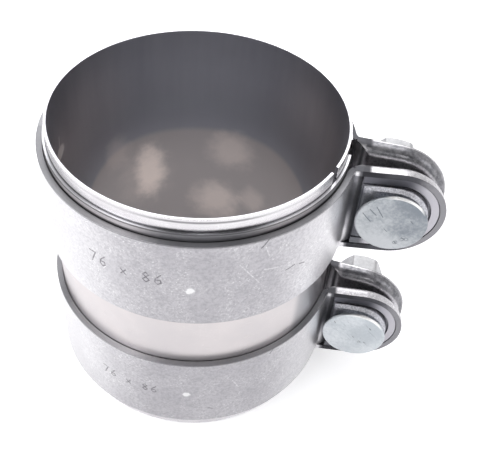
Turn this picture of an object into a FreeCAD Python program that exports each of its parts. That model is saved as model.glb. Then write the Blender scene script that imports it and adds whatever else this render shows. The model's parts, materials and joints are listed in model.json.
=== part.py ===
import FreeCAD, Part
import math
import os

# Double exhaust pipe clamp: a split sleeve of two layers, held by two bands with dished, bolted ears.
# The sleeve stands on its end. Its axis is Z, its base is at Z = 0 and the ears point towards +X.

# Sleeve sizes, in millimetres
pipe_diameter = 76.0
inner_sheet = 0.7
outer_sheet = 0.7
sleeve_clearance = 0.05
sleeve_length = 86.0
outer_sleeve_setback = 3.8
inner_slit_angle = -33.2
inner_slit_width = 2.4
outer_slit_angle = -11.5
outer_slit_width = 6.1

# Band sizes
band_sheet = 1.6
band_clearance = 0.15
band_width = 27.5
band_end_distance = 6.1
root_bend_radius = 2.5

# Ear sizes: each ear is a dish with a round end about its bolt, and leans a little towards the other ear
ear_depth = 4.2
ear_lean = 4.5
ear_outer_bend = 2.6
ear_hole_radius = 6.5
floor_offset = 3.0
root_wall_angle = 35.0

# Each clamp sits at its own angle, reaches its own way out and is drawn together to its own gap
upper_clamp_angle = -10.4
upper_bolt_offset = 11.2
upper_ear_gap = 3.6
lower_clamp_angle = -12.6
lower_bolt_offset = 9.7
lower_ear_gap = 3.0

# Reinforcing cup nested in each ear, with a raised crown that the bolt's head or the nut sits on
insert_floor = 1.5
insert_wall = 2.1
insert_clearance = 0.15
insert_root_overlap = 1.2
insert_bend_radius = 1.0
insert_rim_recess = 0.2
crown_clearance = 0.5
crown_height = 1.2
crown_slope = 0.9
crown_hollow_depth = 1.6
round_hole_radius = 4.4

# Bolt M8 x 25 with a low round head, tapered below its edge, and a square neck
bolt_diameter = 7.9
bolt_length = 25.0
bolt_end_chamfer = 0.7
head_diameter = 18.6
head_seat_diameter = 15.0
head_underside_height = 1.8
head_edge_height = 2.6
head_height = 3.0
head_rounding = 0.5
neck_width = 8.0
neck_length = 2.0
neck_clearance = 0.2

# Tall hexagon lock nut M8 with flange, turned as it was left when tightened
nut_across_flats = 13.0
nut_height = 10.6
nut_turn = 6.0
nut_flange_diameter = 16.6
nut_flange_edge = 1.2
nut_flange_slope = 1.2
nut_chamfer_angle = 30.0
nut_bore_clearance = 0.05
nut_seat_gap = 0.02

# Radii and heights worked out from the sizes above
inner_sleeve_inner = pipe_diameter / 2
inner_sleeve_outer = inner_sleeve_inner + inner_sheet
outer_sleeve_inner = inner_sleeve_outer + sleeve_clearance
outer_sleeve_outer = outer_sleeve_inner + outer_sheet
band_inner = outer_sleeve_outer + band_clearance
band_middle = band_inner + band_sheet / 2
band_outer = band_inner + band_sheet
half_width = band_width / 2
lower_clamp_height = band_end_distance + half_width
upper_clamp_height = sleeve_length - band_end_distance - half_width
floor_start = band_outer + floor_offset
seat_depth = ear_depth + crown_height
insert_radius = half_width - band_sheet - insert_clearance
crown_radius = insert_radius - insert_wall - crown_clearance
lean = math.radians(ear_lean)
wall_slope = math.radians(root_wall_angle)
shank_radius = bolt_diameter / 2
head_radius = head_diameter / 2
head_seat_radius = head_seat_diameter / 2
bore_radius = shank_radius + nut_bore_clearance

# How far a cutting tool reaches past the faces it has to clear
overcut = 1.0

ORIGIN = FreeCAD.Vector(0, 0, 0)
X_AXIS = FreeCAD.Vector(1, 0, 0)
Y_AXIS = FreeCAD.Vector(0, 1, 0)
Z_AXIS = FreeCAD.Vector(0, 0, 1)


def slit_arc(radius, angle, width):
    """Arc of a rolled sheet at a radius, from one side of its slit round to the other, and its ends."""
    middle = math.radians(angle)
    half = math.asin(width / 2 / radius)
    points = []
    for turn in (middle + half, middle + math.pi, middle - half):
        points.append(FreeCAD.Vector(math.cos(turn), math.sin(turn), 0) * radius)
    return Part.Arc(*points).toShape(), points[0], points[2]


def rolled_sheet(inner_radius, outer_radius, bottom, top, angle, width):
    """Tube rolled from a sheet, with a slit of parallel sides at the given angle."""
    inner, inner_first, inner_last = slit_arc(inner_radius, angle, width)
    outer, outer_first, outer_last = slit_arc(outer_radius, angle, width)
    sides = [
        Part.LineSegment(inner_first, outer_first).toShape(),
        Part.LineSegment(inner_last, outer_last).toShape(),
    ]
    outline = Part.Wire(Part.__sortEdges__([inner, outer] + sides))
    body = Part.Face(outline).extrude(FreeCAD.Vector(0, 0, top - bottom))
    body.translate(FreeCAD.Vector(0, 0, bottom))
    return body


def make_inner_sleeve():
    """Longer inner sleeve with its slit."""
    return rolled_sheet(
        inner_sleeve_inner, inner_sleeve_outer, 0, sleeve_length, inner_slit_angle, inner_slit_width)


def make_outer_sleeve():
    """Outer sleeve, set back from both ends of the inner one."""
    top = sleeve_length - outer_sleeve_setback
    return rolled_sheet(
        outer_sleeve_inner, outer_sleeve_outer, outer_sleeve_setback, top, outer_slit_angle, outer_slit_width)


def turned(angle):
    """Unit vector along X turned by an angle in radians."""
    return FreeCAD.Vector(math.cos(angle), math.sin(angle), 0)


def ear_middle(bolt_distance, gap):
    """Point of the ear's floor on its gap side, at the bolt."""
    return FreeCAD.Vector(bolt_distance, gap / 2, 0)


def arc_between(centre, radius, first, last):
    """Short arc about a centre from one direction to another."""
    middle = (first + last).normalize()
    points = [centre + way * radius for way in (first, middle, last)]
    return Part.Arc(*points).toShape()


def strap_line(bolt_distance, gap, offset):
    """Edges of one long face of half a band, from the back of the band to the tip of its ear.

    The offset is measured from the middle of the sheet, positive on the outer side.
    """
    # Directions of the ear's floor and of the slanted root wall, and the normals on their outer side
    outward = turned(-lean)
    floor_normal = turned(math.pi / 2 - lean)
    wall_back = turned(math.pi - lean - wall_slope)
    wall_normal = turned(math.pi / 2 - lean - wall_slope)

    # Corner of floor and wall on the middle of the sheet
    middle = ear_middle(bolt_distance, gap) + floor_normal * (band_sheet / 2)
    corner = middle - outward * ((middle.x - floor_start) / outward.x)

    # Bend at that corner
    corner_radius = ear_outer_bend - band_sheet / 2
    run = corner_radius * math.tan(wall_slope / 2)
    corner_centre = corner + outward * run + floor_normal * corner_radius

    # Bend at the band, touching the wall and the band's middle circle
    bend_radius = root_bend_radius + band_sheet / 2
    start = corner + wall_normal * bend_radius
    dot = start.dot(wall_back)
    reach = band_middle + bend_radius
    length = -dot - math.sqrt(dot ** 2 - start.dot(start) + reach ** 2)
    centre = start + wall_back * length

    ring_radius = band_middle + offset
    ring_way = FreeCAD.Vector(centre).normalize()
    half_turn = (math.pi + math.atan2(centre.y, centre.x)) / 2
    ring_start = FreeCAD.Vector(-ring_radius, 0, 0)
    wall_end = centre - wall_normal * (bend_radius - offset)
    wall_start = corner_centre - wall_normal * (corner_radius - offset)
    floor_end = corner_centre - floor_normal * (corner_radius - offset)
    tip = middle + floor_normal * offset + outward * (half_width + overcut)
    return [
        Part.Arc(ring_start, turned(half_turn) * ring_radius, ring_way * ring_radius).toShape(),
        arc_between(centre, bend_radius - offset, ring_way * -1, wall_normal * -1),
        Part.LineSegment(wall_end, wall_start).toShape(),
        arc_between(corner_centre, corner_radius - offset, wall_normal * -1, floor_normal * -1),
        Part.LineSegment(floor_end, tip).toShape(),
    ]


def closed_face(edges, extra_points):
    """Face inside a run of edges closed by straight lines over the extra points."""
    first = edges[0].Vertexes[0].Point
    last = edges[-1].Vertexes[-1].Point
    corners = [last] + extra_points + [first]
    lines = [Part.LineSegment(a, b).toShape() for a, b in zip(corners, corners[1:])]
    return Part.Face(Part.Wire(Part.__sortEdges__(edges + lines)))


def across_band(face):
    """The face made solid over the width of the band, centred on Z = 0."""
    body = face.extrude(FreeCAD.Vector(0, 0, band_width))
    body.translate(FreeCAD.Vector(0, 0, -half_width))
    return body


def d_prism(back, radius, low, high):
    """Prism along Y with a round end about the origin and a flat end at X = -back."""
    corners = [
        FreeCAD.Vector(-back, low, radius),
        FreeCAD.Vector(-back, low, -radius),
        FreeCAD.Vector(0, low, -radius),
        FreeCAD.Vector(radius, low, 0),
        FreeCAD.Vector(0, low, radius),
    ]
    outline = Part.Wire([
        Part.LineSegment(corners[0], corners[1]).toShape(),
        Part.LineSegment(corners[1], corners[2]).toShape(),
        Part.Arc(corners[2], corners[3], corners[4]).toShape(),
        Part.LineSegment(corners[4], corners[0]).toShape(),
    ])
    return Part.Face(outline).extrude(FreeCAD.Vector(0, high - low, 0))


def level_edges(prism, level, back):
    """Edges of a D prism at one Y, all but the one at its flat end."""
    edges = []
    for edge in prism.Edges:
        box = edge.BoundBox
        on_level = abs(box.YMin - level) < 1e-6 and abs(box.YMax - level) < 1e-6
        at_back = box.XMax < -back + 1e-6
        if on_level and not at_back:
            edges.append(edge)
    return edges


def leaning(shape, bolt_distance, gap):
    """A shape drawn on the ear's own floor, put in the ear's place."""
    shape = shape.copy()
    shape.rotate(ORIGIN, Z_AXIS, -ear_lean)
    shape.translate(ear_middle(bolt_distance, gap))
    return shape


def bolt_hole(radius, bolt_distance):
    """Cutting cylinder along the bolt."""
    length = 2 * half_width
    return Part.makeCylinder(radius, length, FreeCAD.Vector(bolt_distance, 0, 0), Y_AXIS)


def half_band(bolt_distance, gap):
    """Half of a band on the +Y side, with its dished ear."""
    outer_line = strap_line(bolt_distance, gap, band_sheet / 2)
    inner_line = strap_line(bolt_distance, gap, -band_sheet / 2)

    # Side view of the strap, kept up to the end of the root bend
    ends = [
        Part.LineSegment(outer_line[0].Vertexes[0].Point, inner_line[0].Vertexes[0].Point).toShape(),
        Part.LineSegment(outer_line[2].Vertexes[0].Point, inner_line[2].Vertexes[0].Point).toShape(),
    ]
    strap = across_band(Part.Face(Part.Wire(Part.__sortEdges__(outer_line[:2] + inner_line[:2] + ends))))

    # Outside of the dish, less what lies on the gap side of the sheet and inside the band
    back = bolt_distance - band_middle
    dish = d_prism(back, half_width, 0, ear_depth)
    dish = dish.makeFillet(ear_outer_bend, level_edges(dish, 0, back))
    dish = leaning(dish, bolt_distance, gap)
    tip = inner_line[-1].Vertexes[-1].Point
    root = inner_line[1].Vertexes[0].Point
    gap_side = closed_face(inner_line[1:], [
        FreeCAD.Vector(tip.x, -overcut, 0),
        FreeCAD.Vector(root.x - 2 * overcut, -overcut, 0),
        FreeCAD.Vector(root.x - 2 * overcut, root.y, 0),
    ])
    dish = dish.cut(across_band(gap_side))
    inside_band = Part.makeCylinder(band_middle, band_width, FreeCAD.Vector(0, 0, -half_width))
    dish = dish.cut(inside_band)

    # Hollow of the dish, kept to the outer side of the sheet
    hollow_radius = half_width - band_sheet
    hollow = d_prism(back + overcut, hollow_radius, band_sheet, ear_depth + overcut)
    hollow = hollow.makeFillet(ear_outer_bend - band_sheet, level_edges(hollow, band_sheet, back + overcut))
    hollow = leaning(hollow, bolt_distance, gap)
    tip = outer_line[-1].Vertexes[-1].Point
    root = outer_line[1].Vertexes[0].Point
    top = gap / 2 + 3 * ear_depth
    outer_side = closed_face(outer_line[1:], [
        FreeCAD.Vector(tip.x, top, 0),
        FreeCAD.Vector(root.x, top, 0),
    ])
    dish = dish.cut(hollow.common(across_band(outer_side)))
    dish = dish.cut(bolt_hole(ear_hole_radius, bolt_distance))
    return strap.fuse(dish)


def mirrored(shape):
    """The same shape on the -Y side."""
    return shape.mirror(ORIGIN, Y_AXIS)


def make_band(bolt_distance, gap):
    """One strap with both of its ears, pointing along +X and centred on Z = 0."""
    half = half_band(bolt_distance, gap)
    return half.fuse(mirrored(half)).removeSplitter()


def make_insert(bolt_distance, gap, square_hole):
    """Reinforcing cup of the ear on the +Y side."""
    # Cup on the floor of the ear, with a rim all round but at its root end
    back = bolt_distance - floor_start + insert_root_overlap
    rim = ear_depth - insert_rim_recess
    cup = d_prism(back, insert_radius, band_sheet, rim)
    cup = cup.makeFillet(insert_bend_radius, level_edges(cup, band_sheet, back))
    recess = d_prism(back + overcut, insert_radius - insert_wall, band_sheet + insert_floor, rim + overcut)
    cup = leaning(cup.cut(recess), bolt_distance, gap)

    # Crown square to the bolt, with sloping sides
    crown_back = back - crown_clearance
    top = gap / 2 + seat_depth
    crown = d_prism(crown_back, crown_radius, gap / 2 + band_sheet + insert_floor / 2, top)
    sides = level_edges(crown, top, crown_back + overcut)
    crown = crown.makeChamfer(crown_slope, sides)
    crown.translate(FreeCAD.Vector(bolt_distance, 0, 0))
    insert = cup.fuse(crown)

    # Keep clear of the root wall of the ear
    face_line = strap_line(bolt_distance, gap, band_sheet / 2 + insert_clearance)
    below = closed_face(face_line[2:4], [
        FreeCAD.Vector(face_line[3].Vertexes[-1].Point.x, 0, 0),
        FreeCAD.Vector(face_line[2].Vertexes[0].Point.x - band_sheet, 0, 0),
        FreeCAD.Vector(face_line[2].Vertexes[0].Point.x - band_sheet, face_line[2].Vertexes[0].Point.y, 0),
    ])
    insert = insert.cut(across_band(below))
    hollow = bolt_hole(ear_hole_radius, bolt_distance).common(
        Part.makeBox(band_width, gap / 2 + band_sheet + crown_hollow_depth, band_width,
                     FreeCAD.Vector(bolt_distance - half_width, 0, -half_width)))
    insert = insert.cut(hollow)

    if square_hole:
        side = neck_width + 2 * neck_clearance
        hole = Part.makeBox(side, band_width, side, FreeCAD.Vector(bolt_distance - side / 2, 0, -side / 2))
    else:
        hole = bolt_hole(round_hole_radius, bolt_distance)
    return insert.cut(hole).removeSplitter()


def make_bolt(bolt_distance, gap):
    """Round-headed bolt, head in front, along the +Y axis through the ears."""
    seat = gap / 2 + seat_depth
    dome_rise = head_height - head_edge_height
    ball = (head_radius ** 2 + dome_rise ** 2) / (2 * dome_rise)
    head = Part.makeCylinder(head_radius, head_height)
    head = head.common(Part.makeSphere(ball, FreeCAD.Vector(0, 0, head_height - ball)))
    edges = [edge for edge in head.Edges if abs(edge.BoundBox.ZMin - head_edge_height) < 1e-4]
    head = head.makeFillet(head_rounding, edges)
    spread = (head_radius - head_seat_radius) / head_underside_height
    head = head.common(Part.makeCone(head_seat_radius, head_seat_radius + spread * head_height, head_height))
    corner = FreeCAD.Vector(-neck_width / 2, -neck_width / 2, -neck_length)
    neck = Part.makeBox(neck_width, neck_width, neck_length, corner)
    shank = Part.makeCylinder(shank_radius, bolt_length, FreeCAD.Vector(0, 0, -bolt_length))
    tip = [edge for edge in shank.Edges if edge.BoundBox.ZMax < -bolt_length + 1e-6]
    shank = shank.makeChamfer(bolt_end_chamfer, tip)
    bolt = head.fuse(neck).fuse(shank).removeSplitter()
    bolt.rotate(ORIGIN, X_AXIS, 90)
    bolt.translate(FreeCAD.Vector(bolt_distance, -seat, 0))
    return bolt


def make_nut(bolt_distance, gap):
    """Flanged hexagon nut on the +Y side of the ears."""
    seat = gap / 2 + seat_depth + nut_seat_gap
    corner_radius = nut_across_flats / math.sqrt(3)
    corners = [turned(math.radians(60 * step + nut_turn)) * corner_radius for step in range(7)]
    nut = Part.Face(Part.makePolygon(corners)).extrude(FreeCAD.Vector(0, 0, nut_height))
    slope = math.tan(math.radians(nut_chamfer_angle))
    flat_radius = nut_across_flats / 2 * 0.98
    cone_height = nut_height + flat_radius * slope
    nut = nut.common(Part.makeCone(cone_height / slope, 0, cone_height))
    flange_radius = nut_flange_diameter / 2
    flange = Part.makeCylinder(flange_radius, nut_flange_edge)
    slope_base = FreeCAD.Vector(0, 0, nut_flange_edge)
    flange = flange.fuse(Part.makeCone(flange_radius, corner_radius * 0.94, nut_flange_slope, slope_base))
    nut = nut.fuse(flange).cut(Part.makeCylinder(bore_radius, nut_height))
    nut.rotate(ORIGIN, X_AXIS, -90)
    nut.translate(FreeCAD.Vector(bolt_distance, seat, 0))
    return nut


def placed(shape, angle, height):
    """A clamp shape turned about the sleeve axis and lifted to its height."""
    shape = shape.copy()
    shape.rotate(ORIGIN, Z_AXIS, angle)
    shape.translate(FreeCAD.Vector(0, 0, height))
    return shape


def save(name, shape):
    """One node written as its own file."""
    if shape.ShapeType == "Compound" and len(shape.Solids) == 1:
        shape = shape.Solids[0]
    shape.exportStep("parts/" + name + ".step")


def main():
    """Builds every piece and writes it in its place."""
    os.makedirs("parts", exist_ok=True)
    save("inner_sleeve", make_inner_sleeve())
    save("outer_sleeve", make_outer_sleeve())
    clamps = [
        ("upper", upper_clamp_angle, upper_clamp_height, upper_bolt_offset, upper_ear_gap),
        ("lower", lower_clamp_angle, lower_clamp_height, lower_bolt_offset, lower_ear_gap),
    ]
    for side, angle, height, offset, gap in clamps:
        bolt_distance = band_outer + offset
        front_insert = mirrored(make_insert(bolt_distance, gap, True))
        rear_insert = make_insert(bolt_distance, gap, False)
        save(side + "_band", placed(make_band(bolt_distance, gap), angle, height))
        save(side + "_front_insert", placed(front_insert, angle, height))
        save(side + "_rear_insert", placed(rear_insert, angle, height))
        save(side + "_bolt", placed(make_bolt(bolt_distance, gap), angle, height))
        save(side + "_nut", placed(make_nut(bolt_distance, gap), angle, height))


main()
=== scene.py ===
import json
import logging
import math
from collections.abc import Sequence
from dataclasses import dataclass, field
from enum import Enum
from functools import reduce

import bpy
import numpy as np
from mathutils import Matrix


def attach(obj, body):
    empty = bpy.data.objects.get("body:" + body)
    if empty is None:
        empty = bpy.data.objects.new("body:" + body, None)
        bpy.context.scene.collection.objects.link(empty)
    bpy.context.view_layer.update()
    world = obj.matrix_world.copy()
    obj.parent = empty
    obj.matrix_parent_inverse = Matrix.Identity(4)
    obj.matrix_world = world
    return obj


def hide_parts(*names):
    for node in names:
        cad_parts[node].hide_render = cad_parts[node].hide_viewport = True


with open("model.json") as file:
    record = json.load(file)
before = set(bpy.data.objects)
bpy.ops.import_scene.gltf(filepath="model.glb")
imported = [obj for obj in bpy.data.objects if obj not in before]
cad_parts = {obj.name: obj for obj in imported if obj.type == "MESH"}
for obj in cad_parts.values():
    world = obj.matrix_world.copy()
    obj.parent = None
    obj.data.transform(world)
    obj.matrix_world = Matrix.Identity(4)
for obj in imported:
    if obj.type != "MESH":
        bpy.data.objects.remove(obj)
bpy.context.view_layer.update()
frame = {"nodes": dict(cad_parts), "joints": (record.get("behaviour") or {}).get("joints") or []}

# Looks for a double exhaust pipe clamp: rolled split sleeves, two bands with dished ears, bolts and nuts.
# Everything is in metres in the frame's own place. Sizes written in millimetres are scaled by MM.

MM = 0.001
WHITE = "#ffffff"
SHARP_FROM_DEG = 32.0
LOG = logging.getLogger("clamp")

Point = tuple[float, float, float]
Flat = tuple[float, float]
Colour = tuple[float, float, float, float]
Socket = bpy.types.NodeSocket


class Pass(Enum):
    """Kind of ray that the studio answers with plain white."""

    CAMERA = "Is Camera Ray"
    GLOSSY = "Is Glossy Ray"
    TRANSMISSION = "Is Transmission Ray"


class Hand(Enum):
    """Hand of a screw thread: the sign of its climb with a right-handed turn about its axis."""

    RIGHT = 1
    LEFT = -1


class Slot(Enum):
    """Material slots of the record."""

    SLEEVE = "sleeve_steel"
    BAND = "band_steel"
    INSERT = "insert_steel"
    ZINC = "zinc_plated_steel"


def linear(hex_colour: str) -> Colour:
    """Turns a display colour into the linear one that the shader works in.

    Args:
        hex_colour: six hexadecimal digits, with or without the leading mark.

    Returns:
        Red, green, blue and an alpha of 1.
    """
    digits = hex_colour.lstrip("#")
    values = [int(digits[i:i + 2], 16) / 255 for i in (0, 2, 4)]
    out = [v / 12.92 if v <= 0.04045 else ((v + 0.055) / 1.055) ** 2.4 for v in values]
    return (out[0], out[1], out[2], 1.0)


class Graph:
    """A node tree being filled in, with one helper that adds a node."""

    def __init__(self, tree: bpy.types.NodeTree) -> None:
        """Starts from an empty tree."""
        self.tree = tree
        self.tree.nodes.clear()

    def add(
        self,
        kind: str,
        settings: dict[str, object] | None = None,
        inputs: dict[str | int, object] | None = None,
    ) -> bpy.types.Node:
        """Adds a node, sets its properties, and sets or links its inputs.

        Args:
            kind: the node's type name.
            settings: properties of the node itself.
            inputs: values or output sockets, by input name or number.

        Returns:
            The new node.
        """
        node = self.tree.nodes.new(kind)
        for name, value in (settings or {}).items():
            setattr(node, name, value)
        for name, value in (inputs or {}).items():
            socket = node.inputs[name]
            if isinstance(value, bpy.types.NodeSocket):
                self.tree.links.new(value, socket)
            else:
                socket.default_value = value
        return node

    def math(self, operation: str, *values: object) -> Socket:
        """One sum on numbers or sockets, and its result."""
        node = self.add("ShaderNodeMath", {"operation": operation}, dict(enumerate(values)))
        return node.outputs[0]

    def times(self, *values: object) -> Socket:
        """The product of numbers or sockets, taken from left to right."""
        return reduce(lambda total, value: self.math("MULTIPLY", total, value), values)

    def plus(self, first: object, second: object) -> Socket:
        """The sum of two."""
        return self.math("ADD", first, second)

    def minus(self, first: object, second: object) -> Socket:
        """The first less the second."""
        return self.math("SUBTRACT", first, second)

    def most(self, *values: object) -> Socket:
        """The largest of numbers or sockets."""
        return reduce(lambda total, value: self.math("MAXIMUM", total, value), values)

    def size(self, value: object) -> Socket:
        """A number without its sign."""
        return self.math("ABSOLUTE", value)

    def vector(self, operation: str, *values: object) -> Socket:
        """One sum on vectors, and its vector result."""
        node = self.add("ShaderNodeVectorMath", {"operation": operation}, dict(enumerate(values)))
        return node.outputs["Vector"]

    def measure(self, operation: str, *values: object) -> Socket:
        """One sum on vectors whose result is a number, such as a length."""
        node = self.add("ShaderNodeVectorMath", {"operation": operation}, dict(enumerate(values)))
        return node.outputs["Value"]

    def mix(self, factor: object, first: object, second: object) -> Socket:
        """A colour between two others, by the factor."""
        node = self.add("ShaderNodeMix", {"data_type": "RGBA"}, {0: factor, 6: first, 7: second})
        return node.outputs[2]

    def tint(self, colour: object, share: object, hex_colour: str) -> Socket:
        """A colour taken towards a display colour by a share."""
        return self.mix(share, colour, linear(hex_colour))

    def tones(self, share: object, first_hex: str, second_hex: str) -> Socket:
        """A colour between two display colours."""
        return self.mix(share, linear(first_hex), linear(second_hex))

    def ramp(self, value: object, low: float, high: float, start: float = 0.0, end: float = 1.0) -> Socket:
        """A smooth step from start to end while a value goes from low to high.

        Args:
            value: a number or socket.
            low: the value at which the step starts.
            high: the value at which it ends.
            start: the result before the step.
            end: the result after it.

        Returns:
            The result's socket.
        """
        node = self.add(
            "ShaderNodeMapRange",
            {"interpolation_type": "SMOOTHSTEP"},
            {0: value, 1: low, 2: high, 3: start, 4: end},
        )
        return node.outputs[0]

    def ramp_mm(self, value: object, low: float, high: float, *ends: float) -> Socket:
        """The same for a value in metres between limits in millimetres."""
        return self.ramp(value, low * MM, high * MM, *ends)

    def ramp_deg(self, value: object, low: float, high: float, *ends: float) -> Socket:
        """The same for a value in radians between limits in degrees."""
        return self.ramp(value, math.radians(low), math.radians(high), *ends)

    def fall_mm(self, value: object, low: float, high: float) -> Socket:
        """1 up to a limit in millimetres and 0 from another one on."""
        return self.ramp_mm(value, low, high, 1.0, 0.0)

    def fall_deg(self, value: object, low: float, high: float) -> Socket:
        """1 up to a limit in degrees and 0 from another one on."""
        return self.ramp_deg(value, low, high, 1.0, 0.0)

    def between(self, value: object, low: float, high: float, soft: float = 0.15) -> Socket:
        """1 between two limits in millimetres and 0 outside them, with soft ends."""
        rise = self.ramp_mm(value, low - soft, low + soft)
        return self.times(rise, self.fall_mm(value, high - soft, high + soft))

    def noise(self, place: object, size_mm: float, detail: float = 2.0, roughness: float = 0.5) -> Socket:
        """Cloudy noise.

        Args:
            place: the point at which it is taken, in metres.
            size_mm: about how wide its blotches are.
            detail: how many finer layers it has.
            roughness: how strong each finer layer is.

        Returns:
            Its level, 0 to 1.
        """
        node = self.add("ShaderNodeTexNoise", None, {
            "Vector": place,
            "Scale": 1 / (size_mm * MM),
            "Detail": detail,
            "Roughness": roughness,
        })
        return node.outputs[0]

    def place(self) -> Socket:
        """The shaded point in the frame, in metres."""
        return self.add("ShaderNodeTexCoord").outputs["Object"]

    def normal(self) -> Socket:
        """The surface's own normal at the shaded point."""
        return self.add("ShaderNodeTexCoord").outputs["Normal"]

    def parts(self, vector: object) -> tuple[Socket, Socket, Socket]:
        """The three parts of a vector."""
        node = self.add("ShaderNodeSeparateXYZ", None, {0: vector})
        return node.outputs[0], node.outputs[1], node.outputs[2]

    def joined(self, x: object, y: object, z: object) -> Socket:
        """A vector from its three parts."""
        return self.add("ShaderNodeCombineXYZ", None, {0: x, 1: y, 2: z}).outputs[0]

    def relief(self, height: Socket, strength: float, depth_mm: float, round_mm: float = 0.22) -> Socket:
        """Rounded edges with a bump on top.

        Args:
            height: the bump's height.
            strength: the bump's share.
            depth_mm: how deep a height of 1 is.
            round_mm: the edges' radius.

        Returns:
            The normal.
        """
        soft = self.add("ShaderNodeBevel", {"samples": 6}, {"Radius": round_mm * MM})
        bump = self.add("ShaderNodeBump", None, {
            "Strength": strength,
            "Distance": depth_mm * MM,
            "Height": height,
            "Normal": soft.outputs[0],
        })
        return bump.outputs[0]

    def finish(self, colour: object, roughness: object, normal: object) -> None:
        """Ends the tree in a bare metal.

        Args:
            colour: its colour.
            roughness: its roughness.
            normal: its relief.
        """
        shader = self.add("ShaderNodeBsdfPrincipled", None, {
            "Base Color": colour,
            "Metallic": 1.0,
            "Roughness": roughness,
            "Normal": normal,
        })
        self.add("ShaderNodeOutputMaterial", None, {0: shader.outputs[0]})


@dataclass(frozen=True)
class Mottle:
    """Cloudy noise cut to a mask: its blotches' size, its layers, and the levels between which it rises."""

    size_mm: float
    detail: float
    roughness: float
    low: float
    high: float

    def mask(self, graph: Graph, place: Socket, start: float = 0.0, end: float = 1.0) -> Socket:
        """The mask at a point: start below the lower level and end above the higher one."""
        noise = graph.noise(place, self.size_mm, self.detail, self.roughness)
        return graph.ramp(noise, self.low, self.high, start, end)


def new_material(name: str) -> tuple[bpy.types.Material, Graph]:
    """Starts a material.

    Args:
        name: the material's name.

    Returns:
        The material and its empty graph.
    """
    material = bpy.data.materials.new(name)
    material.use_nodes = True
    return material, Graph(material.node_tree)


def add_object(name: str, data: bpy.types.ID) -> bpy.types.Object:
    """Puts a mesh, a lamp or a camera into the scene.

    Args:
        name: the object's name.
        data: what it shows.

    Returns:
        The new object.
    """
    thing = bpy.data.objects.new(name, data)
    bpy.context.scene.collection.objects.link(thing)
    return thing


def set_place(thing: bpy.types.Object, axes: Sequence[Sequence[float]], origin: Sequence[float]) -> None:
    """Turns and places an object.

    Args:
        thing: the object.
        axes: its own three axes in the frame.
        origin: its own origin in the frame, in metres.
    """
    matrix = Matrix.Identity(4)
    for row in range(3):
        matrix[row][:] = (*(axis[row] for axis in axes), origin[row])
    thing.matrix_world = matrix


@dataclass(frozen=True)
class Lamp:
    """One square soft lamp: where it hangs and its side, in metres, and its power, in watts."""

    name: str
    place: Point
    size: float
    power: float

    def build(self, target: Point) -> None:
        """Hangs the lamp.

        Args:
            target: the point that it faces, in metres.
        """
        data = bpy.data.lights.new(self.name, "AREA")
        data.shape = "SQUARE"
        data.size = self.size
        data.energy = self.power
        back = np.asarray(self.place, float) - np.asarray(target, float)
        back /= np.linalg.norm(back)
        side = np.cross((0.0, 0.0, 1.0), back)
        side /= np.linalg.norm(side)
        set_place(add_object(self.name, data), (side, np.cross(back, side), back), self.place)


@dataclass(frozen=True)
class Studio:
    """Plain white studio: a white surround, a pale floor and soft lamps on all sides."""

    floor_size: float = 3.0
    floor_hex: str = "#f2f2f4"
    floor_glow: float = 0.46
    floor_shine: float = 0.32
    zenith: float = 0.62
    horizon: float = 1.0
    horizon_rise: Flat = (0.05, 0.95)
    dark_way: Point = (0.0, -0.71, 0.70)
    dark_level: float = 0.10
    dark_cosines: Flat = (0.80, 0.93)
    target: Point = (0.0, 0.0, 0.05)
    lamps: tuple[Lamp, ...] = (
        Lamp("key_lamp", (-0.55, -0.40, 0.65), 0.6, 2.6),
        Lamp("fill_lamp", (0.7, -0.25, 0.55), 0.5, 0.9),
        Lamp("back_lamp", (0.06, 0.62, 0.62), 0.6, 2.6),
        Lamp("front_lamp", (0.05, -0.62, 0.70), 0.12, 0.5),
    )

    def build(self) -> None:
        """Makes the surround, the floor and the lamps."""
        self._surround()
        self._floor()
        for lamp in self.lamps:
            lamp.build(self.target)

    def _surround(self) -> None:
        """Fills the world: brighter at the horizon than overhead, and plain white behind the object.

        One round part of it is dark, as where the photographer stands, and shows in the metal's round edges.
        """
        world = bpy.data.worlds.new("studio_surround")
        bpy.context.scene.world = world
        world.use_nodes = True
        graph = Graph(world.node_tree)
        path = graph.add("ShaderNodeLightPath")
        way = graph.add("ShaderNodeTexCoord").outputs["Generated"]
        level = graph.ramp(graph.parts(way)[2], *self.horizon_rise, self.horizon, self.zenith)
        toward = graph.measure("DOT_PRODUCT", way, self.dark_way)
        level = graph.times(level, graph.ramp(toward, *self.dark_cosines, 1.0, self.dark_level))
        shown = graph.add("ShaderNodeMix", {"data_type": "FLOAT"}, {
            0: path.outputs[Pass.CAMERA.value],
            2: level,
            3: 1.0,
        })
        light = graph.add("ShaderNodeBackground", None, {
            "Color": linear(WHITE),
            "Strength": shown.outputs[0],
        })
        graph.add("ShaderNodeOutputWorld", None, {0: light.outputs[0]})

    def _floor(self) -> None:
        """A pale floor that shows white to the camera and keeps the object's soft shadow."""
        half = self.floor_size / 2
        mesh = bpy.data.meshes.new("floor")
        corners = [(-half, -half, 0), (half, -half, 0), (half, half, 0), (-half, half, 0)]
        mesh.from_pydata(corners, [], [(0, 1, 2, 3)])
        material, graph = new_material("white_card_floor")
        path = graph.add("ShaderNodeLightPath").outputs
        seen = graph.most(path[Pass.CAMERA.value], path[Pass.TRANSMISSION.value])
        shine = graph.times(path[Pass.GLOSSY.value], self.floor_shine)
        strength = graph.plus(graph.times(seen, self.floor_glow), shine)
        card = graph.add("ShaderNodeBsdfDiffuse", None, {"Color": linear(self.floor_hex)})
        lift = graph.add("ShaderNodeEmission", None, {"Color": linear(WHITE), "Strength": strength})
        both = graph.add("ShaderNodeAddShader", None, {0: card.outputs[0], 1: lift.outputs[0]})
        graph.add("ShaderNodeOutputMaterial", None, {0: both.outputs[0]})
        mesh.materials.append(material)
        add_object("floor", mesh)


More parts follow.
